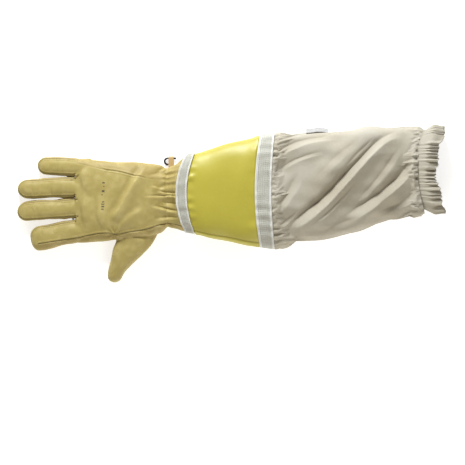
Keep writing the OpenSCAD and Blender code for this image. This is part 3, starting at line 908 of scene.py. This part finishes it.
# Stations along the hand: x, sideways middle, half width, height, lift
HAND_STATIONS = np.array([
    [KNUCKLE_X - 0.001, -0.0072, 0.0622, 0.0225, 0.0008],
    [KNUCKLE_X + 0.012, -0.0074, 0.0622, 0.0265, 0.0006],
    [KNUCKLE_X + 0.028, -0.0076, 0.0606, 0.0305, 0.0006],
    [KNUCKLE_X + 0.054, -0.0068, 0.0588, 0.0345, 0.0006],
    [KNUCKLE_X + 0.078, -0.0060, 0.0568, 0.0365, 0.0006],
    [KNUCKLE_X + 0.102, -0.0048, 0.0545, 0.0350, 0.0006],
    [KNUCKLE_X + 0.118, -0.0042, 0.0525, 0.0325, 0.0008],
    [WRIST[0] - 0.004, -0.0045, 0.0505, 0.0290, 0.0015],
    [WRIST[0] + 0.006, -0.0016, 0.0440, 0.0262, 0.0020],
])


def hand_rings():
    """The hand, then the leather cuff up to under the tape."""
    rings = []
    for x in np.linspace(HAND_STATIONS[0, 0], HAND_STATIONS[-1, 0], 46)[:-1]:
        middle, half, height, lift = table_row(x, HAND_STATIONS)
        y, z, _ = section(half, height, lift, HAND_POINTS, 2.6)
        rings.append(np.stack([np.full(HAND_POINTS, x), HAND_Y + middle + y, z], axis=1))
    for x in np.linspace(WRIST[0] + 0.006, BAND_X - 0.002, 17):
        rings.append(gauntlet_ring(x, HAND_POINTS)[0])
    return rings


# The thumb's centreline from inside the palm: x from the wrist, y from the hand's edge, half width,
# height
THUMB = np.array([
    [-0.034, 0.022, 0.0290, 0.0200],
    [-0.040, 0.008, 0.0275, 0.0235],
    [-0.0485, -0.008, 0.0235, 0.0245],
    [-0.0560, -0.020, 0.0190, 0.0235],
    [-0.0640, -0.034, 0.0145, 0.0215],
    [-0.0700, -0.046, 0.0120, 0.0190],
    [-0.0728, -0.056, 0.0108, 0.0165],
    [-0.0736, -0.0628, 0.0105, 0.0150],
])


def thumb_point(t):
    s = np.linspace(0, 1, len(THUMB))
    return [float(smooth_lookup(t, s, THUMB[:, k])) for k in range(4)]


def thumb_rings():
    """The thumb: rings square to its bent centreline, closed by a round tip."""
    rings = []
    shaft, cap = 0.78, 0.22
    closing = shaft + cap * np.sin(np.linspace(0.1, np.pi / 2, 13))
    for t in np.concatenate([np.linspace(0, shaft, 26), closing]):
        x, y, half, height = thumb_point(t)
        x1, y1, _, _ = thumb_point(min(t + 0.01, 1))
        x0, y0, _, _ = thumb_point(max(t - 0.01, 0))
        dx, dy = x1 - x0, y1 - y0
        across = np.array([-dy, dx]) / math.hypot(dx, dy)
        end = max((t - shaft) / cap, 0)
        close = max(math.sqrt(max(1 - end ** 2, 0)), 0.03)
        lift = 0.0008 + (1 - close) * 0.006
        side, z, _ = section(half * close, height * close ** 0.7, lift, FINGER_POINTS, 2.3)
        x, y = WRIST[0] + x - across[0] * side, EDGE_Y + y - across[1] * side
        rings.append(np.stack([x, y, z], axis=1))
    return rings


def apply_modifier(obj, kind, **settings):
    modifier = obj.modifiers.new(kind, kind)
    for key, value in settings.items():
        setattr(modifier, key, value)
    depsgraph = bpy.context.evaluated_depsgraph_get()
    mesh = bpy.data.meshes.new_from_object(obj.evaluated_get(depsgraph))
    obj.modifiers.clear()
    old = obj.data
    obj.data = mesh
    bpy.data.meshes.remove(old)


def fused_hand():
    """Palm, fingers and thumb as one smooth skin."""
    parts = [lofted("hand_form", hand_rings()), lofted("thumb_form", thumb_rings())]
    parts += [lofted(name + "_form", finger_rings(name)) for name in FINGERS]
    for part in parts:
        bm = bmesh.new()
        bm.from_mesh(part.data)
        bmesh.ops.recalc_face_normals(bm, faces=bm.faces)
        bm.to_mesh(part.data)
        bm.free()
    bpy.ops.object.select_all(action="DESELECT")
    for part in parts:
        part.select_set(True)
    bpy.context.view_layer.objects.active = parts[0]
    bpy.ops.object.join()
    skin = bpy.context.view_layer.objects.active
    apply_modifier(skin, "REMESH", mode="VOXEL", voxel_size=SKIN_VOXEL)
    apply_modifier(skin, "SMOOTH", factor=0.5, iterations=8)
    apply_modifier(skin, "SUBSURF", levels=1, render_levels=1)
    return skin


# Seams on the back of the hand: x from the wrist, y from the wrist's middle
THUMB_SIDE_SEAM = np.array([
    [-0.200, -0.0735], [-0.179, -0.0700], [-0.131, -0.0625], [-0.083, -0.0550],
    [-0.073, -0.0570], [-0.050, -0.0535], [-0.028, -0.0500], [0.011, -0.0400],
    [0.027, -0.0440], [0.050, -0.0560]])
LITTLE_SIDE_SEAM = np.array([
    [-0.200, 0.0600], [-0.132, 0.0500], [-0.088, 0.0400], [-0.068, 0.0370], [-0.052, 0.0330],
    [-0.040, 0.0300], [0.004, 0.0250], [0.027, 0.0320], [0.050, 0.0400]])

# Folds of the leather on the back: as those of the canvas, from the wrist
HAND_FOLDS = [
    [(-0.078, -0.040), (-0.0645, -0.021), (-0.040, 0.022), (-0.018, 0.049), 0.0048, 0.0058],
    [(-0.104, -0.048), (-0.096, -0.030), (-0.094, -0.010), (-0.098, 0.008), 0.0012, 0.0060],
    [(-0.082, -0.054), (-0.092, -0.040), (-0.096, -0.026), (-0.094, -0.014), 0.0012, 0.0035],
    [(-0.072, -0.056), (-0.058, -0.040), (-0.040, -0.026), (-0.022, -0.020), 0.0018, 0.0050],
    [(-0.080, -0.098), (-0.071, -0.078), (-0.064, -0.064), (-0.062, -0.052), 0.0016, 0.0045],
    [(-0.062, -0.092), (-0.053, -0.076), (-0.050, -0.062), (-0.054, -0.052), 0.0012, 0.0045],
    [(-0.064, -0.060), (-0.048, -0.062), (-0.034, -0.066), (-0.024, -0.068), 0.0018, 0.0035],
    [(-0.060, -0.056), (-0.044, -0.055), (-0.024, -0.056), (-0.008, -0.056), 0.0016, 0.0030],
    [(-0.020, 0.014), (-0.012, 0.012), (-0.004, 0.010), (0.004, 0.008), 0.0012, 0.0022],
]

# Soft ridges across the knuckles
KNUCKLE_RIDGES = [
    [(-0.114, -0.050), (-0.117, -0.030), (-0.118, -0.014), (-0.112, 0.002), 0.0026, 0.0050],
    [(-0.115, 0.004), (-0.118, 0.018), (-0.120, 0.032), (-0.116, 0.046), 0.0024, 0.0050],
    [(-0.088, -0.046), (-0.090, -0.032), (-0.090, -0.016), (-0.087, -0.002), 0.0009, 0.0045],
]

# Where neighbouring fingers press together past their crotch: a groove from the gap into the hand
CROTCH_GROOVES = [
    [(-0.1375, 0.0240), (-0.1320, 0.0258), (-0.1285, 0.0290), (-0.1245, 0.0335)],
    [(-0.1380, -0.0060), (-0.1320, -0.0058), (-0.1290, -0.0052), (-0.1265, -0.0046)],
    [(-0.1380, -0.0345), (-0.1325, -0.0330), (-0.1290, -0.0312), (-0.1255, -0.0290)],
]


def seam_line(d, strength, rise, away, wide, offset):
    """Sink a seam at d = 0 into the offset, between two raised lips."""
    offset += strength * (rise * bell(np.abs(d) - away, wide) - SEAM_DEPTH * bell(d, 0.0008))


def panel_seams(x, y, up, in_hand, offset, seam):
    """The two long seams between the back of the hand and its side panels."""
    rx, ry = x - WRIST[0], y - HAND_Y
    in_cuff = smooth_step(x, WRIST[0] - 0.004, WRIST[0] + 0.004)
    for line in (THUMB_SIDE_SEAM, LITTLE_SIDE_SEAM):
        d = ry - smooth_lookup(rx, line[:, 0], line[:, 1])
        strength = in_hand * up * (1 - 0.35 * in_cuff)
        if line is LITTLE_SIDE_SEAM:
            plain = smooth_step(rx, -0.094, -0.084) * smooth_step(rx, -0.022, -0.038)
            strength = strength * (0.10 + 0.65 * plain)
        else:
            in_index = (rx < -0.125) & (rx > FINGER["index"]["tip"] - WRIST[0] + 0.012)
            strength = np.where(in_index, up, strength)
        seam_line(d, strength, 0.0005, 0.0018, 0.0013, offset)
        # The seam's groove is marked for painted shade.
        np.maximum(seam, strength * bell(d, 0.0008), out=seam)


def finger_marks(name, x, y, up, sideways, offset, seam):
    """A finger's rim seam, the creases at its joints, and its fuller root."""
    f = FINGER[name]
    middle = finger_middle(name, x)
    away = np.abs(y - middle)
    inside = (x < KNUCKLE_X + 0.004) & (away < f["width"] / 2 + 0.0025)
    fade = smooth_step(x, KNUCKLE_X + 0.003, KNUCKLE_X - 0.004)
    tip = smooth_step(x, f["tip"] + 0.001, f["tip"] + 0.008)
    from_tip = np.clip((x - f["tip"] - 0.002) / (f["width"] * 0.45), 0, 1)
    d = away - f["width"] / 2 * RIM_SHARE * np.sqrt(1 - (1 - from_tip) ** 2)
    here = inside * fade * up
    if name == "index":
        here = here * (y > middle)
    seam_line(d, here, 0.0006, 0.0013, 0.0009, offset)
    # The rim seam's groove is marked for painted shade.
    np.maximum(seam, here * bell(d, 0.0007) * 0.8, out=seam)
    for k, at in enumerate((f["joint"][0], (f["joint"][0] + f["tip"]) / 2 - 0.002)):
        d = x - at - Noise(70 + k + 3 * FINGERS.index(name), 0.03, 1)(y) * 0.0015
        crease = here * tip * bell(y - middle, f["width"] * 0.36)
        offset += crease * 0.00025 * (bell(d - 0.003, 0.0022) - bell(d, 0.0014))
    beside = (x < KNUCKLE_X + 0.002) & (away < f["width"] / 2 + 0.004)
    near_root = smooth_step(x, KNUCKLE_X - 0.036, KNUCKLE_X - 0.014) * beside
    offset += 0.0010 * near_root * sideways


def crotch_grooves(rx, ry, strength, up, offset, seam):
    """Sunk lines where neighbouring fingers press together, also marked for painted shade."""
    near = np.nonzero((rx > -0.142) & (rx < -0.118))[0]
    for corners in CROTCH_GROOVES:
        side, share = curve_distance(rx[near], ry[near], corners)
        groove = bell(side, 0.0013) * smooth_step(share, 1.0, 0.55)
        offset[near] -= 0.0030 * groove * up[near] * strength[near]
        # The groove is also marked for painted shade.
        seam[near] = np.maximum(seam[near], groove * up[near])


def hand_details(skin):
    """Seams, folds and wrist gathers, moved along the skin's normals; returns the masks of painted
    seam shade and painted fold highlight.
    """
    co = read(skin.data.vertices, "co", 3)
    normal = read(skin.data.vertex_normals, "vector", 3)
    x, y, z = co.T
    rx, ry = x - WRIST[0], y - HAND_Y
    up = smooth_step(normal[:, 2], -0.05, 0.35)
    in_hand = smooth_step(x, KNUCKLE_X - 0.002, KNUCKLE_X + 0.004)
    offset, seam, pleat = np.zeros((3, len(co)))
    panel_seams(x, y, up, in_hand, offset, seam)
    for name in FINGERS:
        finger_marks(name, x, y, up, smooth_step(np.abs(normal[:, 1]), 0.5, 0.9), offset, seam)
    crotch_grooves(rx, ry, in_hand, up, offset, seam)
    height = fold_field(rx, ry, HAND_FOLDS, 0.22)[0]
    height += fold_field(rx, ry, KNUCKLE_RIDGES, 0.0)[0]
    offset += height * up
    offset += Noise(60, 0.05, 3)(x, y, z) * 0.0005
    offset += Noise(61, 0.016, 3)(x, y, z) * 0.00010
    near_wrist = np.nonzero((rx > -0.036) & (rx < 0.046))[0]
    pleat[near_wrist] = fold_field(rx[near_wrist], ry[near_wrist], wrist_pleats(), 0.8)[0]
    offset += pleat
    offset -= 0.0012 * bell(rx - 0.006, 0.0035)
    tape_middle, tape_half, _, _, tape_bow = TAPE_STATION[1:]
    bowed = x + tape_bow * (1 - np.clip((ry - tape_middle) / tape_half, -1, 1) ** 2)
    offset -= 0.0022 * smooth_step(bowed, TAPE_X + 0.001, TAPE_X + 0.004)
    star = np.hypot(rx - STAR[0], ry - STAR[1])
    spoke = np.arctan2(ry - STAR[1], rx - STAR[0])
    offset += up * bell(star, 0.013) * np.sin(spoke * 9) * 0.0008 * smooth_step(star, 0, 0.004)
    # Painted highlight on the crests of the folds and wrist pleats.
    fold = np.clip(height / 0.004, 0, 1) * up * 0.4 + np.clip(pleat / 0.0016, 0, 1) * 0.35
    co += normal * offset[:, None]
    co[:, 2] = np.maximum(co[:, 2], 0.0003)
    skin.data.vertices.foreach_set("co", co.ravel())
    skin.data.update()
    return np.clip(seam, 0, 1), np.clip(fold, 0, 1)


def cut(skin, point, direction, keep):
    """Cut edges along a plane, only among the faces that keep() picks by their middles."""
    bm = bmesh.new()
    bm.from_mesh(skin.data)
    faces = [f for f in bm.faces if keep(f.calc_center_median())]
    geometry = list({v for f in faces for v in f.verts}
                    | {e for f in faces for e in f.edges}) + faces
    bmesh.ops.bisect_plane(bm, geom=geometry, plane_co=point, plane_no=direction, dist=1e-6)
    bm.to_mesh(skin.data)
    bm.free()


def finger_split(name):
    """The x where a finger's leather is cut across, a little short of its middle joint."""
    root, joint = FINGER[name]["root"][0], FINGER[name]["joint"][0]
    return root - (root - joint) * 0.62


def leather_hand():
    """The fused skin, detailed, then parted into the panels and segments that the CAD names."""
    skin = fused_hand()
    cut(skin, (FINGER_CUT_X, 0, 0), (1, 0, 0), lambda c: abs(c.x - KNUCKLE_X) < 0.01)
    for name in FINGERS:
        split = finger_split(name)
        half = FINGER[name]["width"] / 2 + 0.002
        cut(skin, (split, 0, 0), (1, 0, 0), lambda c: abs(c.x - split) < 0.01
            and abs(c.y - finger_middle(name, c.x)) < half)
    for at in (THUMB_ROOT_Y, THUMB_SPLIT_Y):
        cut(skin, (0, at, 0), (0, 1, 0), lambda c: abs(c.y - at) < 0.01 and c.x > KNUCKLE_X + 0.02)
    seam, fold = hand_details(skin)
    store_float(skin, "seam", seam)
    store_float(skin, "fold", fold)
    for name, obj in part_skin(skin, face_groups(skin.data)).items():
        place_leather(name, obj)


def face_groups(mesh):
    """Which piece each face of the skin belongs to."""
    x, y, _ = read(mesh.polygons, "center", 3).T
    facing = read(mesh.polygons, "normal", 3)[:, 2]
    group = np.full(len(x), "", dtype=object)
    which = np.stack([np.abs(y - finger_middle(name, x)) for name in FINGERS]).argmin(axis=0)
    for k, name in enumerate(FINGERS):
        mine = (x < FINGER_CUT_X) & (which == k)
        rim = np.abs(y - finger_middle(name, x)) > FINGER[name]["width"] / 2 * RIM_SHARE
        side = np.where(facing > 0, "back", "palm")
        panel = np.where(rim | (np.abs(facing) < 0.35), "sides", side)
        part = np.where(x < finger_split(name), "tip", "base")
        for p in ("tip", "base"):
            for s in ("back", "palm", "sides"):
                group[mine & (part == p) & (panel == s)] = f"{name}_{s}_{p}"
    in_thumb = (y < THUMB_ROOT_Y) & (x > KNUCKLE_X + 0.02) & (x < WRIST[0] + 0.01)
    for p, mask in (("base", y >= THUMB_SPLIT_Y), ("tip", y < THUMB_SPLIT_Y)):
        group[in_thumb & mask & (facing > 0)] = f"thumb_back_{p}"
        group[in_thumb & mask & (facing <= 0)] = f"thumb_palm_{p}"
    low, high = (HAND_Y + smooth_lookup(x - WRIST[0], line[:, 0], line[:, 1])
                 for line in (THUMB_SIDE_SEAM, LITTLE_SIDE_SEAM))
    rest_of = (group == "")
    back = (facing > 0) & (y > low) & (y < high)
    group[rest_of & back] = "hand_back"
    group[rest_of & ~back] = "hand_palm"
    bow = 0.013 * (1 - ((y - HAND_Y - 0.0055) / 0.058) ** 2)
    under_tape = x + bow > (TAPE_X + BAND_X) / 2
    group[under_tape & (x > WRIST[0] + 0.01)] = "cut_off"
    return group


def part_skin(skin, group):
    """One object per group of faces, with the whole skin's normals so that no edge shows."""
    mesh = skin.data
    co = read(mesh.vertices, "co", 3)
    normals = read(mesh.vertex_normals, "vector", 3)
    marks = {key: read(mesh.attributes[key].data, "value", kind=np.float32)
             for key in ("seam", "fold")}
    starts = read(mesh.polygons, "loop_start", kind=np.int32)
    totals = read(mesh.polygons, "loop_total", kind=np.int32)
    corner = read(mesh.loops, "vertex_index", kind=np.int32)
    made = {}
    for name in sorted(set(group) - {"cut_off", ""}):
        faces = [corner[starts[i]:starts[i] + totals[i]] for i in np.nonzero(group == name)[0]]
        used = np.unique(np.concatenate(faces))
        lookup = np.full(len(co), -1)
        lookup[used] = np.arange(len(used))
        obj = make_object("leather_" + name, co[used], [lookup[f].tolist() for f in faces])
        for key in marks:
            store_float(obj, key, marks[key][used])
        store_rest(obj)
        obj.data.normals_split_custom_set_from_vertices(normals[used].tolist())
        made[name] = obj
    bpy.data.objects.remove(skin)
    return made


def place_leather(name, obj):
    """Materials and hidden CAD nodes for each leather piece; the joint it lies over and its span
    from start to end are worked out but not used.
    """
    if "_back" in name:
        dress(obj, BACK_LEATHER)
    else:
        dress(obj, PALM_LEATHER)
    if name in ("hand_back", "hand_palm"):
        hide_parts(name, "cuff_" + name.split("_")[1])
        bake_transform(obj)
        return
    owner, _, part = name.split("_")
    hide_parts(name)
    is_base = part == "base"
    at = JOINT[owner + ("_knuckle" if is_base else "_middle_joint")]
    if owner == "thumb":
        start = THUMB_ROOT_Y if is_base else at[1] + 0.009
        end = start - (0.020 if is_base else 0.018)
        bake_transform(obj)
    else:
        start, end = ((FINGER_CUT_X, KNUCKLE_X - 0.014) if is_base
                      else (at[0] + 0.008, at[0] - 0.008))
        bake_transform(obj)


# ---------------------------------------------------------------- loop and clip

def hang_loop():
    """A doubled leather strip whose fold holds the clip."""
    low, high = (np.array(p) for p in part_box("hang_loop"))
    thick = 0.0011
    radius = (high[2] - low[2] - thick) / 2
    mid = (high[2] + low[2]) / 2
    tip = high[1] - radius - thick / 2
    start = low[1] - 0.006
    path = [(start + (tip - start) * k / 8, mid - radius) for k in range(9)]
    path += [(tip + radius * math.sin(a), mid - radius * math.cos(a))
             for a in np.linspace(0, math.pi, 13)[1:-1]]
    path += [(tip + (start - tip) * k / 8, mid + radius) for k in range(9)]
    path = np.array(path)
    width = np.linspace(low[0], high[0], 9)
    step = np.gradient(path, axis=0)
    step /= np.linalg.norm(step, axis=1)[:, None]
    out = np.stack([step[:, 1], -step[:, 0]], axis=1)
    grid = np.zeros((len(path), len(width), 3))
    crown = 0.00025 * (1 - ((width - width.mean()) / (width[-1] - width.mean())) ** 4)
    for j, x in enumerate(width):
        grid[:, j, 0] = x
        grid[:, j, 1:] = path + out * (thick / 2 + crown[j])
    uv = np.zeros((grid.shape[0] * grid.shape[1], 2))
    obj = thick_sheet("hang_loop_leather", grid[:, ::-1], thick, False, uv)
    store_float(obj, "seam", np.zeros(len(obj.data.vertices)))
    # An even value: the whole strap is a little paler, with no fold shading.
    store_float(obj, "fold", np.full(len(obj.data.vertices), 0.2))
    dress(obj, STRAP_LEATHER)
    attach(obj, "gauntlet")
    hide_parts("hang_loop")


def clip():
    """The wire clip, fuller than the CAD's by its coat of lacquer."""
    node = frame["nodes"]["clip_hook"]
    bm = bmesh.new()
    bm.from_mesh(node.data)
    bmesh.ops.remove_doubles(bm, verts=bm.verts, dist=0.00002)
    bm.normal_update()
    for vert in bm.verts:
        vert.co += vert.normal * 0.0004
    mesh = bpy.data.meshes.new("clip_wire")
    bm.to_mesh(mesh)
    bm.free()
    mesh.shade_smooth()
    obj = link("clip_wire", mesh)
    dress(obj, WIRE)
    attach(obj, "clip")
    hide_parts("clip_hook")


# ---------------------------------------------------------------- studio

# Soft lights: name, place, size, watts, colour
LIGHTS = [("key", (-0.30, 1.5, 0.84), 0.50, 43, (0.96, 0.98, 1.0)),
          ("low", (0.3, -1.5, 0.6), 1.0, 14, (1.0, 0.96, 0.88))]


def floor_and_light():
    n = Nodes("pale_floor")
    place = n.add("ShaderNodeTexCoord").outputs["Object"]
    color = n.tint((0.80, 0.80, 0.80), n.noise(place, 3.0, 2.0), 1.0, (0.78, 0.78, 0.78),
                   0.3, 0.7)
    n.finish(color, n.bump(n.noise(place, 400.0, 2.0), 0.0001, 0.1), 0.9, Specular_IOR_Level=0.1,
             Emission_Color=(1.0, 1.0, 1.0, 1.0), Emission_Strength=0.66)
    floor = plane("floor", 4, FLOOR_Z, smooth=False)
    floor.data.materials.append(n.material)
    world = bpy.data.worlds.new("studio")
    bpy.context.scene.world = world
    world.use_nodes = True
    background = world.node_tree.nodes["Background"]
    background.inputs["Color"].default_value = (1.0, 0.975, 0.93, 1)
    background.inputs["Strength"].default_value = 0.32
    for name, place, size, watts, color in LIGHTS:
        lamp = bpy.data.lights.new(name, "AREA")
        lamp.size, lamp.energy, lamp.color = size, watts, color
        obj = link(name, lamp)
        obj.location = place
        towards = Vector((0, 0, 0.02)) - Vector(place)
        obj.rotation_euler = towards.to_track_quat("-Z", "Y").to_euler()


def camera():
    """Straight down from far above, a long lens."""
    frame_width = 0.6975
    height = 6.0
    data = bpy.data.cameras.new("camera")
    data.sensor_width = 36
    data.lens = 36 * height / frame_width
    obj = link("camera", data)
    obj.location = (0.0007, -0.0427, height)
    bpy.context.scene.camera = obj
    bpy.context.scene.view_settings.view_transform = "Standard"


gauntlet()
leather_hand()
hang_loop()
clip()
floor_and_light()
camera()
